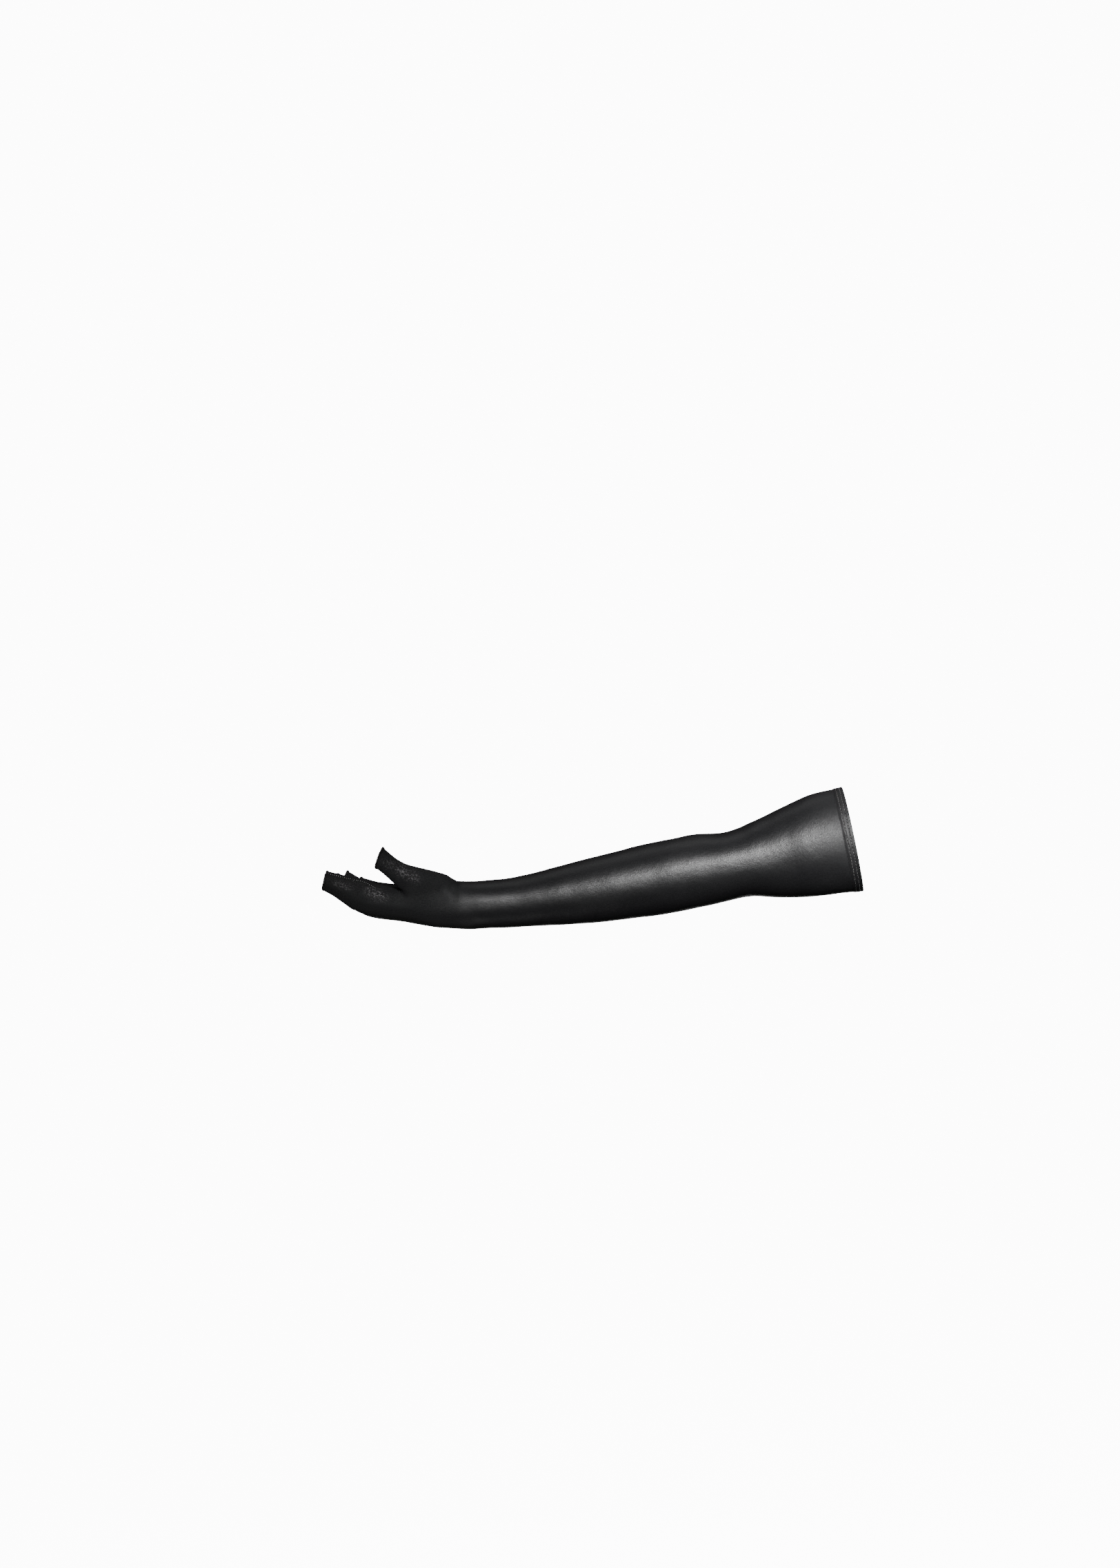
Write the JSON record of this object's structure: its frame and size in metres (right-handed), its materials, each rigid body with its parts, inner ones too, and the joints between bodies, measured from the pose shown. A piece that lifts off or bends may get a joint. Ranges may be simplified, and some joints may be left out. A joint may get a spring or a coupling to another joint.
{
  "type": "evening mitten",
  "caption": "Long fingerless dress glove for the left hand in black coated stretch cloth, shaped as worn with the palm up, open at the upper arm and at the end of each stall.",
  "frame": {"origin": "centre of the arm opening's edge", "axes": "+X out of the arm opening towards the shoulder, -X towards the fingertips, +Z the palm side, -Y the thumb side"},
  "size_m": [0.4816, 0.1001, 0.1266],
  "materials": {
    "coated_cloth": "satin, fine grained coating on stretch knit",
    "hem_cloth": "satin, turned and twice stitched",
    "edge_thread": "matt overlock thread over a rolled edge"
  },
  "bodies": {
    "root": {"back_panel_upper_arm": "coated_cloth", "back_panel_elbow": "coated_cloth", "back_panel_forearm": "coated_cloth", "back_panel_hand": "coated_cloth", "back_panel_fingers": "coated_cloth", "palm_panel": "coated_cloth", "arm_hem": "hem_cloth", "thumb_edge": "edge_thread", "index_edge": "edge_thread", "middle_edge": "edge_thread", "ring_edge": "edge_thread", "little_edge": "edge_thread"}
  },
  "joints": []
}
